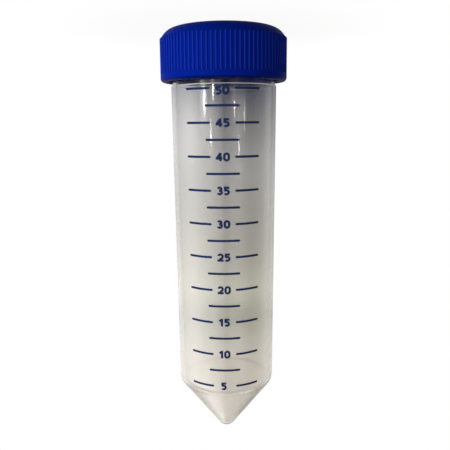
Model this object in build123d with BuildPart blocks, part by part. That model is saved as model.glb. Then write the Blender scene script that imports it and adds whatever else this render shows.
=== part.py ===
from build123d import *
import math
import os

# A 50 ml conical tube standing on its screw cap, tip up. Millimetres, +Z up.
# The origin is the middle of the cap's flat top, the face it stands on, so z counts from there.
# Neck and cap are plain at the roots of their screw threads; the fine ridges themselves are left out.

# The whole object
total_height = 117.8

# The tube
wall = 1.08
barrel_radius = 14.64      # outside, at the shoulder
barrel_draft = 0.46        # degrees, narrowing towards the cone
shoulder_z = 15.2          # end of the barrel, beside the cap
shoulder_round = 0.2
neck_radius = 14.3
mouth_round = 0.2
cone_angle = 36.9          # degrees from the axis to the cone's side
cone_corner_round = 2.5    # outside, where the barrel turns into the cone
inside_corner_round = 3.3
tip_round = 3.0            # outside

# The cap
cap_height = 14.2
cap_radius = 17.5          # over the ribs and the plain band
cap_top = 1.9              # thickness of the flat top
cap_bore = 15.45
rim_chamfer = 0.5
inside_round = 0.5
top_flat_radius = 13.7
shoulder_arc = 4.6         # radius of the rounded shoulder
shoulder_arc_z = 2.9       # where the rounded shoulder meets the skirt
skirt_radius = 17.24       # between the ribs
band_height = 2.1          # plain band at the open rim
band_round = 1.0
rib_count = 90
rib_radius = 0.3
plug_gap = 0.1             # between the plug ring and the tube's bore
plug_thickness = 0.95
plug_depth = 2.3
plug_chamfer = 0.3

# Worked out from them
draft_slope = math.tan(math.radians(barrel_draft))
cone_slope = math.tan(math.radians(cone_angle))
tip_centre_z = total_height - tip_round
mouth_z = cap_top
band_z = cap_height - band_height
rib_centre_radius = cap_radius - rib_radius


def barrel_side(z, inset):
    """Radius at height z of the barrel's outside, moved inwards by inset."""
    return barrel_radius - inset - (z - shoulder_z) * draft_slope


def cone_corner(inset):
    """Radius and height where the barrel meets the cone, both moved inwards by inset."""
    apex_z = tip_centre_z + (tip_round - inset) / math.sin(math.radians(cone_angle))
    z = (apex_z * cone_slope - barrel_side(0, inset)) / (cone_slope - draft_slope)
    return barrel_side(z, inset), z


def cone_tangent(inset):
    """Radius and height where the cone's side runs into the rounded tip."""
    radius = tip_round - inset
    angle = math.radians(cone_angle)
    return radius * math.cos(angle), tip_centre_z + radius * math.sin(angle)


# Tube: one moulded wall, drawn as a half section in the XZ plane and turned round the axis.
with BuildPart() as tube:
    with BuildSketch(Plane.XZ):
        with BuildLine():
            Polyline(
                (0, mouth_z),
                (neck_radius, mouth_z),
                (neck_radius, shoulder_z),
                (barrel_radius, shoulder_z),
                cone_corner(0),
                cone_tangent(0),
            )
            CenterArc((0, tip_centre_z), tip_round, cone_angle, 90 - cone_angle)
            Line((0, total_height), (0, mouth_z))
        make_face()
        fillet(vertices().sort_by_distance(cone_corner(0))[0], cone_corner_round)
        fillet(vertices().sort_by_distance((barrel_radius, shoulder_z))[0], shoulder_round)
        with BuildLine():
            Polyline(
                (0, mouth_z),
                (barrel_side(mouth_z, wall), mouth_z),
                cone_corner(wall),
                cone_tangent(wall),
            )
            CenterArc((0, tip_centre_z), tip_round - wall, cone_angle, 90 - cone_angle)
            Line((0, total_height - wall), (0, mouth_z))
        make_face(mode=Mode.SUBTRACT)
        fillet(vertices().sort_by_distance(cone_corner(wall))[0], inside_corner_round)
        fillet(vertices().group_by(Axis.Y)[0], mouth_round)
    revolve(axis=Axis.Z)
tube.part.label = "tube"


# Cap: one moulded shell with a rounded shoulder, a plug ring that seats in the mouth,
# and half-round grip ribs that end in domes under the shoulder.
plug_radius = barrel_side(mouth_z + plug_depth, wall) - plug_gap
with BuildPart() as cap:
    with BuildSketch(Plane.XZ):
        with BuildLine():
            Line((0, 0), (top_flat_radius, 0))
            RadiusArc((top_flat_radius, 0), (skirt_radius, shoulder_arc_z), -shoulder_arc)
            Polyline(
                (skirt_radius, shoulder_arc_z),
                (skirt_radius, band_z),
                (cap_radius, band_z),
                (cap_radius, cap_height),
                (0, cap_height),
                (0, 0),
            )
        make_face()
        fillet(vertices().sort_by_distance((cap_radius, cap_height))[0], band_round)
        with BuildLine():
            Polyline(
                (0, cap_top),
                (cap_bore, cap_top),
                (cap_bore, cap_height - rim_chamfer),
                (cap_bore + rim_chamfer, cap_height),
                (0, cap_height),
                close=True,
            )
        make_face(mode=Mode.SUBTRACT)
        fillet(vertices().sort_by_distance((cap_bore, cap_top))[0], inside_round)
        with BuildLine():
            Polyline(
                (plug_radius - plug_thickness, cap_top),
                (plug_radius, cap_top),
                (plug_radius, cap_top + plug_depth - plug_chamfer),
                (plug_radius - plug_chamfer, cap_top + plug_depth),
                (plug_radius - plug_thickness, cap_top + plug_depth),
                close=True,
            )
        make_face()
    revolve(axis=Axis.Z)
    with BuildSketch(Plane.XY.offset(shoulder_arc_z)):
        with PolarLocations(rib_centre_radius, rib_count):
            Circle(rib_radius)
    extrude(amount=band_z - shoulder_arc_z)
    with Locations((0, 0, shoulder_arc_z)):
        with PolarLocations(rib_centre_radius, rib_count):
            Sphere(rib_radius)
cap.part.label = "cap"

os.makedirs("parts", exist_ok=True)
export_step(tube.part, "parts/tube.step")
export_step(cap.part, "parts/cap.step")
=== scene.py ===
import math

import bpy
from mathutils import Matrix, Vector


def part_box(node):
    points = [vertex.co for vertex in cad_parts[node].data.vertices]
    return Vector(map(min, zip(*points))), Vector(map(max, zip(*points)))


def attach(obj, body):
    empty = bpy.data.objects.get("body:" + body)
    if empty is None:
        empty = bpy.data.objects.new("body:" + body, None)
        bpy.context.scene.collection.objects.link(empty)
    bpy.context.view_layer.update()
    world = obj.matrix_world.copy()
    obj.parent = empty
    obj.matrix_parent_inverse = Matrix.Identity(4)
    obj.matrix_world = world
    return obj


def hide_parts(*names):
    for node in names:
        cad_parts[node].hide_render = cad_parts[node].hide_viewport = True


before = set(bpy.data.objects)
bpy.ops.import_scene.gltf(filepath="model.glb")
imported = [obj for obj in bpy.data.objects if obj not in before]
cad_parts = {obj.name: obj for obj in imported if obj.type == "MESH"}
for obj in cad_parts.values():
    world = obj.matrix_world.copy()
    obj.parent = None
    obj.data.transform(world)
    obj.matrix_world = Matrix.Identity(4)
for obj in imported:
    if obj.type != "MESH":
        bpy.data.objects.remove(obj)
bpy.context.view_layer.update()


# ---------------------------------------------------------------------------------------------
# The tube: one injection moulding of natural polypropylene, a slim tapered barrel with a cone at
# its closed end and a threaded neck. Its wall is drawn as half a section and turned round the
# axis, as the mould's core and cavity were. The model stands on its cap, so the tip is on top.
cap_low, cap_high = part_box("cap")
tube_low, tube_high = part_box("tube")

mm = 0.001
mouth_z = tube_low.z
tip_z = tube_high.z
shoulder_z = cap_high.z + 1.0 * mm
barrel_radius = tube_high.x
neck_radius = barrel_radius - 0.34 * mm
wall_thickness = 1.08 * mm
barrel_draft = math.radians(0.46)
cone_angle = math.radians(36.9)
corner_round = 2.5 * mm
inside_corner_round = 3.3 * mm
tip_round = 3.0 * mm
mouth_round = 0.2 * mm
shoulder_round = 0.2 * mm
turning_steps = 192
mouth_steps = 4
shoulder_steps = 5
corner_steps = 8
tip_steps = 14
long_stretch = 1.5 * mm
edge_ring = 0.12 * mm
same_point = 0.001 * mm
smooth_below = math.radians(35)

tip_centre_z = tip_z - tip_round
draft_slope = math.tan(barrel_draft)
cone_slope = math.tan(cone_angle)


def barrel_side(z, inset):
    """Radius of the barrel's outside at height z, moved inwards by inset."""
    return barrel_radius - inset - (z - shoulder_z) * draft_slope


def round_stretch(centre_r, centre_z, radius, first, last, steps):
    """Points along an arc of the section, its angles measured up from the horizontal."""
    angles = [first + (last - first) * i / steps for i in range(steps + 1)]
    return [(centre_r + radius * math.cos(a), centre_z + radius * math.sin(a)) for a in angles]


def corner_centre(inset, rounding):
    """Centre of the rounding between barrel and cone, both moved inwards by inset."""
    centre_z = (
        (tip_round - inset - rounding) / math.cos(cone_angle)
        + tip_centre_z * cone_slope
        - barrel_side(0, inset)
        + rounding / math.cos(barrel_draft)
    ) / (cone_slope - draft_slope)
    return barrel_side(centre_z, inset) - rounding / math.cos(barrel_draft), centre_z


def cone_end(inset, rounding):
    """The section from the barrel's end round the corner and up the cone to the tip."""
    corner = round_stretch(
        *corner_centre(inset, rounding), rounding, barrel_draft, cone_angle, corner_steps
    )
    tip = round_stretch(0, tip_centre_z, tip_round - inset, cone_angle, math.pi / 2, tip_steps)
    return corner + tip


def with_edge_rings(points):
    """Adds a point close to each end of every long stretch, which keeps its shading straight."""
    filled = [points[0]]
    for (r0, z0), (r1, z1) in zip(points, points[1:]):
        length = math.hypot(r1 - r0, z1 - z0)
        if length > long_stretch:
            for share in (edge_ring / length, 1 - edge_ring / length):
                filled.append((r0 + (r1 - r0) * share, z0 + (z1 - z0) * share))
        filled.append((r1, z1))
    return filled


outside = (
    round_stretch(
        neck_radius - mouth_round, mouth_z + mouth_round, mouth_round,
        -math.pi / 2, 0, mouth_steps,
    )
    + [(neck_radius, shoulder_z)]
    + round_stretch(
        barrel_radius - shoulder_round, shoulder_z + shoulder_round, shoulder_round,
        -math.pi / 2, 0, shoulder_steps,
    )
    + cone_end(0, corner_round)
)
inside = (
    round_stretch(
        barrel_side(mouth_z, wall_thickness) + mouth_round, mouth_z + mouth_round, mouth_round,
        -math.pi / 2, -math.pi, mouth_steps,
    )
    + cone_end(wall_thickness, inside_corner_round)
)
section = with_edge_rings(outside[::-1] + inside)

bpy.ops.object.select_all(action="DESELECT")
bpy.ops.mesh.primitive_plane_add(size=mm, location=(0, 0, 0))
tube_body = bpy.context.active_object
tube_body.name = "tube_body"
bpy.ops.object.mode_set(mode="EDIT")
bpy.ops.mesh.merge(type="CENTER")
bpy.ops.transform.translate(value=(section[0][0], 0, section[0][1]))
for (r0, z0), (r1, z1) in zip(section, section[1:]):
    bpy.ops.mesh.extrude_vertices_move(TRANSFORM_OT_translate={"value": (r1 - r0, 0, z1 - z0)})
bpy.ops.mesh.select_all(action="SELECT")
bpy.ops.mesh.spin(steps=turning_steps, angle=math.tau, center=(0, 0, 0), axis=(0, 0, 1))
bpy.ops.mesh.select_all(action="SELECT")
bpy.ops.mesh.remove_doubles(threshold=same_point)
bpy.ops.mesh.normals_make_consistent(inside=False)
bpy.ops.object.mode_set(mode="OBJECT")


# The tube's thread is a right-handed ridge round the neck that runs out at both ends. Its foot
# is sunk into the neck, so that the two melt together.
thread_pitch = 3.6 * mm
thread_turns = 1.75
thread_start_z = mouth_z + 2.9 * mm
thread_root = 1.7 * mm
thread_crest = 0.7 * mm
thread_foot_radius = neck_radius - 0.3 * mm
thread_crest_radius = neck_radius + 0.9 * mm
thread_round = 0.15 * mm
thread_steps = 168
run_out_steps = 14


def pick_points(piece, wanted):
    """Leaves the piece in edit mode with only the points chosen by wanted(place) selected."""
    bpy.ops.object.mode_set(mode="EDIT")
    bpy.ops.mesh.select_mode(type="VERT")
    bpy.ops.mesh.select_all(action="DESELECT")
    bpy.ops.object.mode_set(mode="OBJECT")
    for vertex in piece.data.vertices:
        vertex.select = wanted(vertex.co)
    bpy.ops.object.mode_set(mode="EDIT")


def thread_ridge(name, root_radius, crest_radius, start_z):
    """A ridge of the common thread; its crest may lie outside its root or inside it."""
    bpy.ops.object.select_all(action="DESELECT")
    bpy.ops.mesh.primitive_plane_add(size=1, location=(0, 0, 0), rotation=(math.pi / 2, 0, 0))
    ridge = bpy.context.active_object
    ridge.name = name
    bpy.ops.object.transform_apply(location=True, rotation=True, scale=True)
    middle = (crest_radius + root_radius) / 2
    bpy.ops.object.mode_set(mode="EDIT")
    bpy.ops.mesh.delete(type="ONLY_FACE")
    bpy.ops.mesh.select_all(action="SELECT")
    bpy.ops.transform.resize(value=(abs(crest_radius - root_radius), 1, thread_root))
    bpy.ops.transform.translate(value=(middle, 0, start_z))
    pick_points(ridge, lambda place: (place.x > middle) == (crest_radius > root_radius))
    bpy.ops.transform.resize(
        value=(1, 1, thread_crest / thread_root), center_override=(0, 0, start_z)
    )
    bpy.ops.mesh.select_all(action="SELECT")
    bpy.ops.mesh.bevel(offset=thread_round, segments=2, affect="VERTICES")
    bpy.ops.object.mode_set(mode="OBJECT")
    points_round = len(ridge.data.vertices)
    turn = ridge.modifiers.new("turn", "SCREW")
    turn.angle = math.tau * thread_turns
    turn.screw_offset = thread_pitch * thread_turns
    turn.steps = turn.render_steps = thread_steps
    turn.use_merge_vertices = False
    bpy.ops.object.modifier_apply(modifier=turn.name)
    for number, vertex in enumerate(ridge.data.vertices):
        step = number // points_round
        height = min(1, step / run_out_steps, (thread_steps - step) / run_out_steps)
        radius = vertex.co.xy.length
        vertex.co.xy *= (root_radius + (radius - root_radius) * height) / radius
    bpy.ops.object.mode_set(mode="EDIT")
    bpy.ops.mesh.select_mode(type="VERT")
    bpy.ops.mesh.select_all(action="SELECT")
    bpy.ops.mesh.remove_doubles(threshold=same_point)
    bpy.ops.mesh.select_all(action="SELECT")
    bpy.ops.mesh.fill_holes(sides=0)
    bpy.ops.mesh.normals_make_consistent(inside=False)
    bpy.ops.object.mode_set(mode="OBJECT")
    return ridge


def unite(piece, added):
    """Melts a second closed piece into the first."""
    join = piece.modifiers.new("join", "BOOLEAN")
    join.operation = "UNION"
    join.solver = "MANIFOLD"
    join.object = added
    bpy.ops.object.select_all(action="DESELECT")
    bpy.context.view_layer.objects.active = piece
    piece.select_set(True)
    bpy.ops.object.modifier_apply(modifier=join.name)
    bpy.data.objects.remove(added)


tube_thread = thread_ridge(
    "tube_thread", thread_foot_radius, thread_crest_radius, thread_start_z
)
unite(tube_body, tube_thread)
bpy.ops.object.shade_smooth_by_angle(angle=smooth_below)


# The mould's cavity is polished and its core is matt above the neck, so the barrel's outside is
# glossy and its bore isn't.
wall_middle = wall_thickness / 2
middle_apex_z = tip_centre_z + (tip_round - wall_middle) / math.sin(cone_angle)


def in_bore(place):
    """Whether a point of the wall belongs to the matt part of its inner face."""
    radius = place.xy.length
    if place.z < shoulder_z:
        return False
    if place.z > tip_centre_z:
        return math.hypot(radius, place.z - tip_centre_z) < tip_round - wall_middle
    middle_radius = min(barrel_side(place.z, wall_middle), (middle_apex_z - place.z) * cone_slope)
    return radius < middle_radius


bore_mask = tube_body.data.attributes.new("bore", "FLOAT", "POINT")
for vertex, mask in zip(tube_body.data.vertices, bore_mask.data):
    mask.value = in_bore(vertex.co)


# Both mouldings share the marks of moulding: streaks where the melt flowed along the piece, a
# slow change of tone from one side to the other, and a fine grain from the mould's steel.
flow_stretch = (1, 1, 0.06)
moulding_marks = bpy.data.node_groups.new("moulding_marks", "ShaderNodeTree")
for label, kind in (("Place", "NodeSocketVector"), ("Flow Scale", "NodeSocketFloat"),
                    ("Grain Scale", "NodeSocketFloat")):
    moulding_marks.interface.new_socket(name=label, in_out="INPUT", socket_type=kind)
for label in ("Flow", "Tone", "Grain"):
    moulding_marks.interface.new_socket(
        name=label, in_out="OUTPUT", socket_type="NodeSocketFloat"
    )
nodes = moulding_marks.nodes
links = moulding_marks.links
given = nodes.new("NodeGroupInput")
result = nodes.new("NodeGroupOutput")
drawn_out = nodes.new("ShaderNodeVectorMath")
drawn_out.operation = "MULTIPLY"
drawn_out.inputs[1].default_value = flow_stretch
links.new(given.outputs["Place"], drawn_out.inputs[0])
for label, scale_from, source, share in (
    ("Flow", "Flow Scale", drawn_out.outputs["Vector"], 1.0),
    ("Tone", "Flow Scale", given.outputs["Place"], 0.25),
    ("Grain", "Grain Scale", given.outputs["Place"], 1.0),
):
    finer = nodes.new("ShaderNodeMath")
    finer.operation = "MULTIPLY"
    finer.inputs[1].default_value = share
    links.new(given.outputs[scale_from], finer.inputs[0])
    noise = nodes.new("ShaderNodeTexNoise")
    noise.inputs["Detail"].default_value = 3
    links.new(source, noise.inputs["Vector"])
    links.new(finer.outputs["Value"], noise.inputs["Scale"])
    links.new(noise.outputs["Fac"], result.inputs[label])


def add_moulding_marks(material, flow_scale, grain_scale):
    """Places the shared marks of moulding in a material, at its own scales."""
    tree = material.node_tree
    place = tree.nodes.new("ShaderNodeTexCoord")
    marks_node = tree.nodes.new("ShaderNodeGroup")
    marks_node.node_tree = moulding_marks
    marks_node.inputs["Flow Scale"].default_value = flow_scale
    marks_node.inputs["Grain Scale"].default_value = grain_scale
    tree.links.new(place.outputs["Object"], marks_node.inputs["Place"])
    return place, marks_node


def spread(tree, value, low, high):
    """Spreads the middle of a noise value over a range."""
    spreader = tree.nodes.new("ShaderNodeMapRange")
    spreader.inputs["From Min"].default_value = 0.3
    spreader.inputs["From Max"].default_value = 0.7
    spreader.inputs["To Min"].default_value = low
    spreader.inputs["To Max"].default_value = high
    tree.links.new(value, spreader.inputs["Value"])
    return spreader.outputs["Result"]


def two_tones(tree, value, first, second):
    """Mixes two colours by a value from 0 to 1."""
    tones = tree.nodes.new("ShaderNodeMix")
    tones.data_type = "RGBA"
    tones.inputs["A"].default_value = (*first, 1)
    tones.inputs["B"].default_value = (*second, 1)
    tree.links.new(value, tones.inputs["Factor"])
    return tones.outputs["Result"]


def surface_relief(tree, value, depth, strength):
    """Turns a value into a shallow relief."""
    relief = tree.nodes.new("ShaderNodeBump")
    relief.inputs["Distance"].default_value = depth
    relief.inputs["Strength"].default_value = strength
    tree.links.new(value, relief.inputs["Height"])
    return relief.outputs["Normal"]


# Natural polypropylene is clear but never water-clear: it is a little milky, and its skin blurs
# what is seen through it. Lamps shine through it, which is what the transparent shader is for.
clear_resin = (0.935, 0.93, 0.92)
milky_resin = (0.91, 0.905, 0.89)
lamp_light_passed = (0.82, 0.81, 0.78)
polished_roughness = (0.06, 0.10)
matt_roughness = (0.13, 0.18)
natural_polypropylene = bpy.data.materials.new("natural_polypropylene")
natural_polypropylene.use_nodes = True
tree = natural_polypropylene.node_tree
place, marks_node = add_moulding_marks(natural_polypropylene, flow_scale=420, grain_scale=9000)
resin = tree.nodes["Principled BSDF"]
resin.inputs["IOR"].default_value = 1.49
resin.inputs["Transmission Weight"].default_value = 0.999
tone = spread(tree, marks_node.outputs["Tone"], 0, 1)
tree.links.new(two_tones(tree, tone, clear_resin, milky_resin), resin.inputs["Base Color"])
bore = tree.nodes.new("ShaderNodeAttribute")
bore.attribute_name = "bore"
skin = tree.nodes.new("ShaderNodeMix")
tree.links.new(bore.outputs["Fac"], skin.inputs["Factor"])
flow = marks_node.outputs["Flow"]
tree.links.new(spread(tree, flow, *polished_roughness), skin.inputs["A"])
tree.links.new(spread(tree, flow, *matt_roughness), skin.inputs["B"])
tree.links.new(skin.outputs["Result"], resin.inputs["Roughness"])
tree.links.new(
    surface_relief(tree, marks_node.outputs["Grain"], depth=0.002 * mm, strength=0.08),
    resin.inputs["Normal"],
)
clear = tree.nodes.new("ShaderNodeBsdfTransparent")
clear.inputs["Color"].default_value = (*lamp_light_passed, 1)
path = tree.nodes.new("ShaderNodeLightPath")
let_lamps_in = tree.nodes.new("ShaderNodeMixShader")
tree.links.new(path.outputs["Is Shadow Ray"], let_lamps_in.inputs["Fac"])
tree.links.new(resin.outputs["BSDF"], let_lamps_in.inputs[1])
tree.links.new(clear.outputs["BSDF"], let_lamps_in.inputs[2])
tree.links.new(let_lamps_in.outputs["Shader"], tree.nodes["Material Output"].inputs["Surface"])
tube_body.data.materials.clear()
tube_body.data.materials.append(natural_polypropylene)

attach(tube_body, "tube")
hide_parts("tube")


# ---------------------------------------------------------------------------------------------
# The volume scale: one thin layer of dark blue ink, pad-printed on the finished barrel. A long
# pair of lines and a number mark each 5 ml, and a short line the 2.5 ml between them.
first_mark = 5
last_mark = 50
mark_step = 2.5
first_mark_z = tip_z - 19.34 * mm
long_line_inner = 3.2 * mm
long_line_outer = 10.2 * mm
short_line_half = 4.5 * mm
line_width = 0.62 * mm
line_end_round = 0.49      # of the line's width, so that its ends are almost half round
line_end_facets = 5
digit_squeeze = 0.94
digit_gap = 0.22 * mm
pen_width = 0.65 * mm
pen_arc_step = math.radians(15)
ink_thickness = 0.02 * mm
ink_gap = 0.006 * mm
print_turn = math.radians(1.6)      # the print is not quite square to the front
thick_ink = (0.001, 0.008, 0.042)
thin_ink = (0.003, 0.013, 0.062)
cut_spacing = 0.4 * mm
bore_at_first_mark = barrel_side(first_mark_z, wall_thickness)
print_radius = barrel_side((first_mark_z + shoulder_z) / 2, 0)

# The last number sits clear of the cap's rim, and the first one a little to the left.
number_nudges = {5: (-0.36 * mm, 0), 50: (0, -0.55 * mm)}

# Each digit is a few strokes of a broad pen: where it starts, in millimetres from the digit's
# middle, its heading in degrees, and then runs (length, 0) and arcs (radius, turn to the left).
digit_strokes = {
    "0": [((0.58, 0.34), 90, [(0.58, 180), (0.68, 0), (0.58, 180), (0.68, 0)])],
    "1": [((0.20, -1.17), 90, [(2.34, 0)]), ((-0.54, 0.42), 37, [(0.88, 0)])],
    "2": [((-0.56, 0.47), 75, [(0.58, -210), (1.24, 0)]), ((-0.84, -0.88), 0, [(1.68, 0)])],
    "3": [
        ((-0.47, 0.63), 65, [(0.47, -245), (0.16, 0)]),
        ((-0.17, 0.12), 0, [(0.16, 0), (0.53, -245)]),
    ],
    "4": [
        ((0.33, -1.17), 90, [(2.34, 0)]),
        ((-0.86, -0.42), 0, [(1.72, 0)]),
        ((-0.60, -0.42), 57, [(1.63, 0)]),
    ],
    "5": [
        ((-0.66, 0.88), 0, [(1.36, 0)]),
        ((-0.40, 1.17), -91, [(1.22, 0)]),
        ((-0.48, -0.07), 55, [(0.55, -290)]),
    ],
}
digit_reach = {"0": 0.86, "1": 0.60, "2": 0.86, "3": 0.82, "4": 0.86, "5": 0.79}


def mark_height(millilitres):
    """Height of a volume's line, from what the tapered bore holds below it."""
    above_first = (millilitres - first_mark) * 1e-6
    cubed = 3 * draft_slope * above_first / math.pi + bore_at_first_mark ** 3
    return first_mark_z - (cubed ** (1 / 3) - bore_at_first_mark) / draft_slope


def printed_line(start, end, line_z):
    """A flat round-ended line in the XZ plane."""
    bpy.ops.object.select_all(action="DESELECT")
    bpy.ops.mesh.primitive_plane_add(size=1, location=(0, 0, 0), rotation=(math.pi / 2, 0, 0))
    line = bpy.context.active_object
    bpy.ops.object.transform_apply(location=True, rotation=True, scale=True)
    bpy.ops.object.mode_set(mode="EDIT")
    bpy.ops.transform.resize(value=(end - start, 1, line_width))
    bpy.ops.transform.translate(value=((start + end) / 2, 0, line_z))
    bpy.ops.mesh.bevel(
        offset=line_width * line_end_round, segments=line_end_facets, affect="VERTICES"
    )
    bpy.ops.object.mode_set(mode="OBJECT")
    return line


def pen_stroke(start, heading, moves):
    """One stroke of a digit in the XY plane, as a closed slab as wide as the pen."""
    heading = math.radians(heading)
    x, y = start[0] * mm, start[1] * mm
    half_pen = Vector((-math.sin(heading), math.cos(heading), 0)) * (pen_width / 2)
    bpy.ops.object.select_all(action="DESELECT")
    bpy.ops.mesh.primitive_plane_add(size=mm, location=(0, 0, 0))
    stroke = bpy.context.active_object
    bpy.ops.object.mode_set(mode="EDIT")
    bpy.ops.mesh.select_mode(type="VERT")
    bpy.ops.mesh.select_all(action="SELECT")
    bpy.ops.mesh.merge(type="CENTER")
    bpy.ops.transform.translate(value=Vector((x, y, 0)) - half_pen)
    bpy.ops.mesh.extrude_vertices_move(TRANSFORM_OT_translate={"value": 2 * half_pen})
    bpy.ops.mesh.select_all(action="SELECT")
    for length, turn in moves:
        length *= mm
        turn = math.radians(turn)
        if turn == 0:
            run = Vector((math.cos(heading), math.sin(heading), 0)) * length
            bpy.ops.mesh.extrude_edges_move(TRANSFORM_OT_translate={"value": run})
            x += run.x
            y += run.y
        else:
            side = math.copysign(length, turn)
            centre = (x - math.sin(heading) * side, y + math.cos(heading) * side)
            bpy.ops.mesh.spin(
                steps=round(abs(turn) / pen_arc_step), angle=-turn,
                center=(*centre, 0), axis=(0, 0, 1),
            )
            heading += turn
            x = centre[0] + math.sin(heading) * side
            y = centre[1] - math.cos(heading) * side
    bpy.ops.mesh.select_all(action="SELECT")
    bpy.ops.mesh.remove_doubles(threshold=same_point)
    bpy.ops.mesh.normals_make_consistent(inside=False)
    bpy.ops.object.mode_set(mode="OBJECT")
    slab = stroke.modifiers.new("slab", "SOLIDIFY")
    slab.thickness = pen_width
    slab.offset = 0
    bpy.ops.object.modifier_apply(modifier=slab.name)
    bpy.ops.object.mode_set(mode="EDIT")
    bpy.ops.mesh.select_all(action="SELECT")
    bpy.ops.mesh.normals_make_consistent(inside=False)
    bpy.ops.object.mode_set(mode="OBJECT")
    return stroke


def flat_digit(strokes):
    """A digit's strokes united, and only the upper face of the slab kept."""
    digit, *others = [pen_stroke(*stroke) for stroke in strokes]
    for other in others:
        unite(digit, other)
    bpy.ops.object.select_all(action="DESELECT")
    bpy.context.view_layer.objects.active = digit
    digit.select_set(True)
    bpy.ops.object.mode_set(mode="EDIT")
    bpy.ops.mesh.select_mode(type="FACE")
    bpy.ops.mesh.select_all(action="DESELECT")
    bpy.ops.object.mode_set(mode="OBJECT")
    for face in digit.data.polygons:
        face.select = face.normal.z < 0.9
    bpy.ops.object.mode_set(mode="EDIT")
    bpy.ops.mesh.delete(type="FACE")
    bpy.ops.mesh.select_all(action="SELECT")
    bpy.ops.transform.translate(value=(0, 0, -pen_width / 2))
    bpy.ops.transform.resize(value=(1, digit_squeeze, 1), center_override=(0, 0, 0))
    bpy.ops.object.mode_set(mode="OBJECT")
    return digit


def printed_number(value, number_z):
    """A number's digits side by side, turned to read with the cap uppermost."""
    text = str(value)
    reaches = [digit_reach[figure] * mm for figure in text]
    width = 2 * sum(reaches) + digit_gap * (len(text) - 1)
    nudge_x, nudge_y = number_nudges.get(value, (0, 0))
    x = nudge_x - width / 2
    placed = []
    for figure, reach in zip(text, reaches):
        bpy.ops.object.select_all(action="DESELECT")
        digits[figure].select_set(True)
        bpy.ops.object.duplicate(linked=False)
        copy = bpy.context.selected_objects[0]
        bpy.context.view_layer.objects.active = copy
        copy.location = (-(x + reach), 0, number_z - nudge_y)
        copy.rotation_euler = (math.pi / 2, math.pi, 0)
        bpy.ops.object.transform_apply(location=True, rotation=True, scale=True)
        placed.append(copy)
        x += 2 * reach + digit_gap
    return placed


digits = {figure: flat_digit(strokes) for figure, strokes in digit_strokes.items()}
marks = []
millilitres = first_mark
while millilitres <= last_mark:
    line_z = mark_height(millilitres)
    if millilitres % 5:
        marks.append(printed_line(-short_line_half, short_line_half, line_z))
    else:
        marks.append(printed_line(-long_line_outer, -long_line_inner, line_z))
        marks.append(printed_line(long_line_inner, long_line_outer, line_z))
        marks += printed_number(int(millilitres), line_z)
    millilitres += mark_step
for digit in digits.values():
    bpy.data.objects.remove(digit)

bpy.ops.object.select_all(action="DESELECT")
for mark in marks:
    mark.select_set(True)
bpy.context.view_layer.objects.active = marks[0]
bpy.ops.object.join()
scale_print = bpy.context.active_object
scale_print.name = "scale_print"
bpy.ops.object.mode_set(mode="EDIT")
cuts = int(long_line_outer / cut_spacing)
for cut in range(-cuts, cuts + 1):
    bpy.ops.mesh.select_all(action="SELECT")
    bpy.ops.mesh.bisect(plane_co=(cut * cut_spacing, 0, 0), plane_no=(1, 0, 0))
bpy.ops.object.mode_set(mode="OBJECT")
wrap = scale_print.modifiers.new("wrap", "SIMPLE_DEFORM")
wrap.deform_method = "BEND"
wrap.deform_axis = "Z"
wrap.angle = 2 * long_line_outer / print_radius
bpy.ops.object.modifier_apply(modifier=wrap.name)
bpy.ops.object.mode_set(mode="EDIT")
bpy.ops.mesh.select_all(action="SELECT")
bpy.ops.transform.translate(value=(0, -print_radius, 0))
bpy.ops.object.mode_set(mode="OBJECT")
scale_print.rotation_euler = (0, 0, print_turn)
bpy.ops.object.transform_apply(location=True, rotation=True, scale=True)
settle = scale_print.modifiers.new("settle", "SHRINKWRAP")
settle.target = tube_body
settle.wrap_method = "NEAREST_SURFACEPOINT"
settle.wrap_mode = "ABOVE_SURFACE"
settle.offset = ink_gap
bpy.ops.object.modifier_apply(modifier=settle.name)
layer = scale_print.modifiers.new("layer", "SOLIDIFY")
layer.thickness = ink_thickness
layer.offset = 1
bpy.ops.object.modifier_apply(modifier=layer.name)

printing_ink = bpy.data.materials.new("printing_ink")
printing_ink.use_nodes = True
tree = printing_ink.node_tree
place, marks_node = add_moulding_marks(printing_ink, flow_scale=1500, grain_scale=9000)
ink = tree.nodes["Principled BSDF"]
ink.inputs["Specular IOR Level"].default_value = 0.2
cover = spread(tree, marks_node.outputs["Grain"], 0, 1)
tree.links.new(two_tones(tree, cover, thick_ink, thin_ink), ink.inputs["Base Color"])
tree.links.new(spread(tree, marks_node.outputs["Tone"], 0.4, 0.55), ink.inputs["Roughness"])
tree.links.new(
    surface_relief(tree, marks_node.outputs["Grain"], depth=0.005 * mm, strength=0.4),
    ink.inputs["Normal"],
)
scale_print.data.materials.clear()
scale_print.data.materials.append(printing_ink)

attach(scale_print, "tube")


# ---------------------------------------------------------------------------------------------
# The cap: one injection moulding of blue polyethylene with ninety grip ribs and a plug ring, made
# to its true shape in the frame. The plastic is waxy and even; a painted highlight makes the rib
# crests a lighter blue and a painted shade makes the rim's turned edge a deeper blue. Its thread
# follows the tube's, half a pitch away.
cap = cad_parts["cap"]
rib_side_radius = cap_high.x - 0.14 * mm
band_z = cap_high.z - 2.1 * mm
rim_turn = 1.0 * mm
cap_thread_foot = cap_high.x - 1.85 * mm
cap_thread_crest = neck_radius + 0.3 * mm
even_blue = (0.0, 0.006, 0.145)
pale_blue = (0.0, 0.008, 0.16)
# A lighter blue, painted on the rib crests as a highlight.
crest_highlight_blue = (0.004, 0.016, 0.215)
# A deeper blue, painted on the rim's turned edge as shade.
painted_shade_blue = (0.0, 0.003, 0.06)

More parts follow.
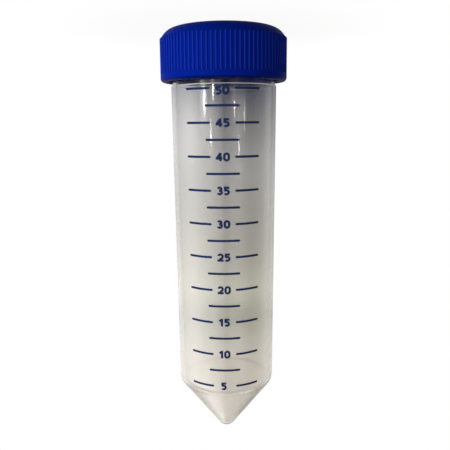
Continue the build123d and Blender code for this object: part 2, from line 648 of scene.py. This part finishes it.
blue_polyethylene = bpy.data.materials.new("blue_polyethylene")
blue_polyethylene.use_nodes = True
tree = blue_polyethylene.node_tree
place, marks_node = add_moulding_marks(blue_polyethylene, flow_scale=160, grain_scale=4000)
shell = tree.nodes["Principled BSDF"]
shell.inputs["Specular IOR Level"].default_value = 0.02
flat_place = tree.nodes.new("ShaderNodeVectorMath")
flat_place.operation = "MULTIPLY"
flat_place.inputs[1].default_value = (1, 1, 0)
tree.links.new(place.outputs["Object"], flat_place.inputs[0])
from_axis = tree.nodes.new("ShaderNodeVectorMath")
from_axis.operation = "LENGTH"
tree.links.new(flat_place.outputs["Vector"], from_axis.inputs[0])
# Painted highlight: the rib crests turn a lighter blue with the distance from the axis, only on the
# ribs below the band.
painted_crest_highlight = tree.nodes.new("ShaderNodeMapRange")
painted_crest_highlight.inputs["From Min"].default_value = rib_side_radius
painted_crest_highlight.inputs["From Max"].default_value = cap_high.x
tree.links.new(from_axis.outputs["Value"], painted_crest_highlight.inputs["Value"])
heights = tree.nodes.new("ShaderNodeSeparateXYZ")
tree.links.new(place.outputs["Object"], heights.inputs["Vector"])
on_ribs = tree.nodes.new("ShaderNodeMath")
on_ribs.operation = "LESS_THAN"
on_ribs.inputs[1].default_value = band_z
tree.links.new(heights.outputs["Z"], on_ribs.inputs[0])
painted_crest_highlight_on_ribs = tree.nodes.new("ShaderNodeMath")
painted_crest_highlight_on_ribs.operation = "MULTIPLY"
tree.links.new(painted_crest_highlight.outputs["Result"], painted_crest_highlight_on_ribs.inputs[0])
tree.links.new(on_ribs.outputs["Value"], painted_crest_highlight_on_ribs.inputs[1])
# Painted shade: the rim's turned edge darkens to a deeper blue with height.
painted_rim_shade = tree.nodes.new("ShaderNodeMapRange")
painted_rim_shade.interpolation_type = "SMOOTHSTEP"
painted_rim_shade.inputs["From Min"].default_value = cap_high.z - rim_turn
painted_rim_shade.inputs["From Max"].default_value = cap_high.z - rim_turn / 4
tree.links.new(heights.outputs["Z"], painted_rim_shade.inputs["Value"])
tone = spread(tree, marks_node.outputs["Tone"], 0, 1)
blue = two_tones(tree, tone, even_blue, pale_blue)
# Mixes in the painted highlight on the rib crests, then the painted shade on the rim's edge.
for where, other_blue in (
    (painted_crest_highlight_on_ribs.outputs["Value"], crest_highlight_blue),
    (painted_rim_shade.outputs["Result"], painted_shade_blue),
):
    blend = tree.nodes.new("ShaderNodeMix")
    blend.data_type = "RGBA"
    blend.inputs["B"].default_value = (*other_blue, 1)
    tree.links.new(where, blend.inputs["Factor"])
    tree.links.new(blue, blend.inputs["A"])
    blue = blend.outputs["Result"]
tree.links.new(blue, shell.inputs["Base Color"])
tree.links.new(spread(tree, marks_node.outputs["Flow"], 0.38, 0.48), shell.inputs["Roughness"])
tree.links.new(
    surface_relief(tree, marks_node.outputs["Grain"], depth=0.01 * mm, strength=0.3),
    shell.inputs["Normal"],
)
cap.material_slots[0].material = blue_polyethylene

cap_thread = thread_ridge(
    "cap_thread", cap_thread_foot, cap_thread_crest, thread_start_z - thread_pitch / 2
)
bpy.ops.object.shade_smooth_by_angle(angle=smooth_below)
cap_thread.data.materials.append(blue_polyethylene)

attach(cap_thread, "cap")


# ---------------------------------------------------------------------------------------------
# The floor: a small round table top, pale and matt. It keeps the shadow near the cap and fades
# into the white of the studio, which is also the part of it that gloss and clear walls show.
floor_radius = 0.10
floor_edges = 96
mottle_scale = 60
shadow_start = 0.02
shadow_end = 0.05
glow_near = 0.94
glow_in_gloss = 0.45
floor_grey = (0.49, 0.49, 0.49)
floor_lighter_grey = (0.51, 0.51, 0.51)

bpy.ops.object.select_all(action="DESELECT")
bpy.ops.mesh.primitive_circle_add(
    vertices=floor_edges, radius=floor_radius, fill_type="NGON", location=(0, 0, cap_low.z)
)
floor = bpy.context.active_object
floor.name = "floor"
bpy.ops.object.transform_apply(location=True, rotation=True, scale=True)


def value_of(tree, operation, first, second):
    """One value worked out from two, either of which may be a plain number."""
    worked_out = tree.nodes.new("ShaderNodeMath")
    worked_out.operation = operation
    for socket, value in zip(worked_out.inputs, (first, second)):
        if isinstance(value, (int, float)):
            socket.default_value = value
        else:
            tree.links.new(value, socket)
    return worked_out.outputs["Value"]


def shown_white(tree, gloss_share):
    """How much of the studio's white a ray sees: all for the camera, a share in gloss or glass."""
    path = tree.nodes.new("ShaderNodeLightPath")
    through = value_of(
        tree, "MAXIMUM", path.outputs["Is Glossy Ray"], path.outputs["Is Transmission Ray"]
    )
    shared = value_of(tree, "MULTIPLY", through, gloss_share)
    return value_of(tree, "MAXIMUM", path.outputs["Is Camera Ray"], shared)


matt_white = bpy.data.materials.new("matt_white")
matt_white.use_nodes = True
tree = matt_white.node_tree
table_top = tree.nodes["Principled BSDF"]
place = tree.nodes.new("ShaderNodeTexCoord")
mottle = tree.nodes.new("ShaderNodeTexNoise")
mottle.inputs["Scale"].default_value = mottle_scale
tree.links.new(place.outputs["Object"], mottle.inputs["Vector"])
tone = spread(tree, mottle.outputs["Fac"], 0, 1)
tree.links.new(
    two_tones(tree, tone, floor_grey, floor_lighter_grey), table_top.inputs["Base Color"]
)
tree.links.new(spread(tree, mottle.outputs["Fac"], 0.85, 0.95), table_top.inputs["Roughness"])
distance = tree.nodes.new("ShaderNodeVectorMath")
distance.operation = "LENGTH"
tree.links.new(place.outputs["Object"], distance.inputs[0])
fade = tree.nodes.new("ShaderNodeMapRange")
fade.interpolation_type = "SMOOTHSTEP"
fade.inputs["From Min"].default_value = shadow_start
fade.inputs["From Max"].default_value = shadow_end
fade.inputs["To Min"].default_value = glow_near
tree.links.new(distance.outputs["Value"], fade.inputs["Value"])
glow = tree.nodes.new("ShaderNodeEmission")
glow.inputs["Color"].default_value = (1, 1, 1, 1)
mix = tree.nodes.new("ShaderNodeMixShader")
tree.links.new(
    value_of(tree, "MULTIPLY", shown_white(tree, glow_in_gloss), fade.outputs["Result"]),
    mix.inputs["Fac"],
)
tree.links.new(table_top.outputs["BSDF"], mix.inputs[1])
tree.links.new(glow.outputs["Emission"], mix.inputs[2])
tree.links.new(mix.outputs["Shader"], tree.nodes["Material Output"].inputs["Surface"])
floor.data.materials.append(matt_white)


# ---------------------------------------------------------------------------------------------
# The light: a dim room that grows lighter with height, with pale walls on both sides and in
# front, is what the clear barrel shows. Broad soft boxes light the cap, and small lamps on both
# sides draw the bright streaks on the barrel. To the camera the room is plain white.
world = bpy.data.worlds.new("studio")
bpy.context.scene.world = world
world.use_nodes = True
tree = world.node_tree
lowest_level = -1
highest_level = 1
room_by_level = [
    (-1.00, (0.45, 0.45, 0.45)),
    (-0.22, (0.45, 0.45, 0.45)),
    (-0.16, (0.28, 0.28, 0.28)),
    (-0.12, (0.09, 0.09, 0.10)),
    (-0.09, (0.006, 0.010, 0.045)),
    (-0.06, (0.020, 0.027, 0.075)),
    (-0.04, (0.085, 0.085, 0.105)),
    (-0.01, (0.14, 0.14, 0.15)),
    (0.03, (0.22, 0.22, 0.22)),
    (0.08, (0.32, 0.32, 0.31)),
    (0.14, (0.32, 0.31, 0.29)),
    (0.20, (0.33, 0.32, 0.29)),
    (0.26, (0.39, 0.37, 0.33)),
    (0.305, (0.56, 0.55, 0.46)),
    (0.335, (0.26, 0.26, 0.21)),
    (0.38, (0.53, 0.50, 0.44)),
    (0.43, (0.62, 0.57, 0.50)),
    (0.50, (0.60, 0.56, 0.49)),
    (0.75, (0.42, 0.39, 0.34)),
    (1.00, (1.00, 0.92, 0.84)),
]
white_in_gloss = 0.01

# A pale wall is a product of soft steps. Each has its axis of the direction, where it starts and
# ends along that axis, and its brightness or share before and after.
left_side = [("X", -0.01, 0.13, 0, 1), ("X", 0.5, 0.95, 1, 0.25)]
right_side = [("X", -0.08, -0.35, 0, 1), ("X", -0.5, -0.8, 1, 0.1)]
pale_walls = [
    left_side + [("Z", 0.10, 0.25, 0.5, 0.6), ("Z", 0.5, 0.65, 1, 0.4)],
    left_side + [("Z", -0.07, 0.0, 0, 0.2), ("Z", 0.02, 0.1, 1, 0)],
    right_side + [("Z", -0.10, 0.25, 0.2, 0.33), ("Z", 0.5, 0.65, 1, 0.2)],
    [("X", -0.85, -0.97, 0, 0.12), ("Z", 0.0, 0.12, 1, 0)],
    [("Y", -0.3, -0.8, 0, 0.2), ("Z", -0.03, 0.06, 0, 1)],
]

direction = tree.nodes.new("ShaderNodeTexCoord")
parts = tree.nodes.new("ShaderNodeSeparateXYZ")
tree.links.new(direction.outputs["Generated"], parts.inputs["Vector"])


def soft_step(axis, start, end, low, high):
    """A smooth change of brightness along one axis of the direction."""
    step = tree.nodes.new("ShaderNodeMapRange")
    step.interpolation_type = "SMOOTHSTEP"
    step.inputs["From Min"].default_value = start
    step.inputs["From Max"].default_value = end
    step.inputs["To Min"].default_value = low
    step.inputs["To Max"].default_value = high
    tree.links.new(parts.outputs[axis], step.inputs["Value"])
    return step.outputs["Result"]


level = tree.nodes.new("ShaderNodeMapRange")
level.inputs["From Min"].default_value = lowest_level
level.inputs["From Max"].default_value = highest_level
tree.links.new(parts.outputs["Z"], level.inputs["Value"])
room = tree.nodes.new("ShaderNodeValToRGB")
room.color_ramp.interpolation = "LINEAR"
stops = room.color_ramp.elements
while len(stops) < len(room_by_level):
    stops.new(0.5)
for stop, (height, colour) in zip(stops, room_by_level):
    stop.position = (height - lowest_level) / (highest_level - lowest_level)
    stop.color = (*colour, 1)
tree.links.new(level.outputs["Result"], room.inputs["Fac"])
brightness_of_walls = 0
for wall_steps in pale_walls:
    brightness = 1
    for step in wall_steps:
        brightness = value_of(tree, "MULTIPLY", soft_step(*step), brightness)
    brightness_of_walls = value_of(tree, "ADD", brightness, brightness_of_walls)
walls = tree.nodes.new("ShaderNodeMix")
walls.data_type = "RGBA"
walls.blend_type = "ADD"
walls.inputs["Factor"].default_value = 1
tree.links.new(room.outputs["Color"], walls.inputs["A"])
tree.links.new(brightness_of_walls, walls.inputs["B"])
surround = tree.nodes["Background"]
tree.links.new(walls.outputs["Result"], surround.inputs["Color"])
backdrop = tree.nodes.new("ShaderNodeBackground")
backdrop.inputs["Color"].default_value = (1, 1, 1, 1)
mix = tree.nodes.new("ShaderNodeMixShader")
tree.links.new(shown_white(tree, white_in_gloss), mix.inputs["Fac"])
tree.links.new(surround.outputs["Background"], mix.inputs[1])
tree.links.new(backdrop.outputs["Background"], mix.inputs[2])
tree.links.new(mix.outputs["Shader"], tree.nodes["World Output"].inputs["Surface"])


def soft_box(name, place, aim, size, watts, colour=(1, 0.99, 0.97), shape="RECTANGLE"):
    """A flat lamp that faces a point. It isn't seen itself, either directly or through the tube."""
    lamp = bpy.data.lights.new(name, "AREA")
    lamp.shape = shape
    lamp.size, lamp.size_y = size
    lamp.energy = watts
    lamp.color = colour
    holder = bpy.data.objects.new(name, lamp)
    bpy.context.scene.collection.objects.link(holder)
    holder.location = place
    holder.rotation_euler = (Vector(aim) - Vector(place)).to_track_quat("-Z", "Y").to_euler()
    holder.visible_camera = False
    holder.visible_transmission = False
    return holder


cap_middle = (0, 0, 0.01)
key = soft_box("key", (0.46, -0.38, 0.01), cap_middle, (0.28, 0.08), 4.0)
side = soft_box("side", (0.60, 0.05, 0.01), cap_middle, (0.35, 0.08), 1.8)
for holder in (key, side):
    holder.visible_glossy = False

# Each small lamp stands at an angle from the front, counted towards the left, and at a distance
# and a height. It has a width and a height of its own, a power and a colour.
for name, turn, far, lamp_z, size, watts, colour in (
    ("lamp_low_left", 40.9, 0.40, 0.0105, (0.050, 0.024), 0.066, (1, 0.99, 0.97)),
    ("lamp_near_left", 21.6, 0.20, 0.0101, (0.010, 0.009), 0.010, (1, 0.93, 0.90)),
    ("lamp_high_left", 27.8, 0.25, 0.0365, (0.007, 0.016), 0.009, (1, 0.98, 0.92)),
    ("lamp_low_right", -43.9, 0.40, 0.0250, (0.026, 0.022), 0.010, (1, 0.99, 0.97)),
    ("lamp_near_right", -21.7, 0.20, 0.0196, (0.008, 0.009), 0.005, (1, 0.88, 0.82)),
    ("lamp_high_right", -31.1, 0.25, 0.0440, (0.006, 0.010), 0.005, (1, 0.98, 0.92)),
):
    turn = math.radians(turn)
    place = Vector((far * math.sin(turn), -far * math.cos(turn), lamp_z))
    soft_box(name, place, (0, 0, lamp_z), size, watts, colour, "ELLIPSE")


# ---------------------------------------------------------------------------------------------
# The camera: close, a little above the cap's rim and looking slightly up, and turned over because
# the tube is shown with its cap uppermost.
film_width = 36
focal_length = 44.38
camera_data = bpy.data.cameras.new("camera")
camera_data.sensor_width = film_width
camera_data.lens = focal_length
camera_data.clip_start = 10 * mm
camera = bpy.data.objects.new("camera", camera_data)
bpy.context.scene.collection.objects.link(camera)
bpy.context.scene.camera = camera
camera_distance = 159.8 * mm
camera_height = cap_low.z + 25.3 * mm
look_up = math.radians(10.43)
roll = math.radians(180 - 0.53)
camera.matrix_world = (
    Matrix.Translation((0, -camera_distance, camera_height))
    @ Matrix.Rotation(math.pi / 2 + look_up, 4, "X")
    @ Matrix.Rotation(roll, 4, "Z")
)

bpy.context.scene.view_settings.view_transform = "Standard"
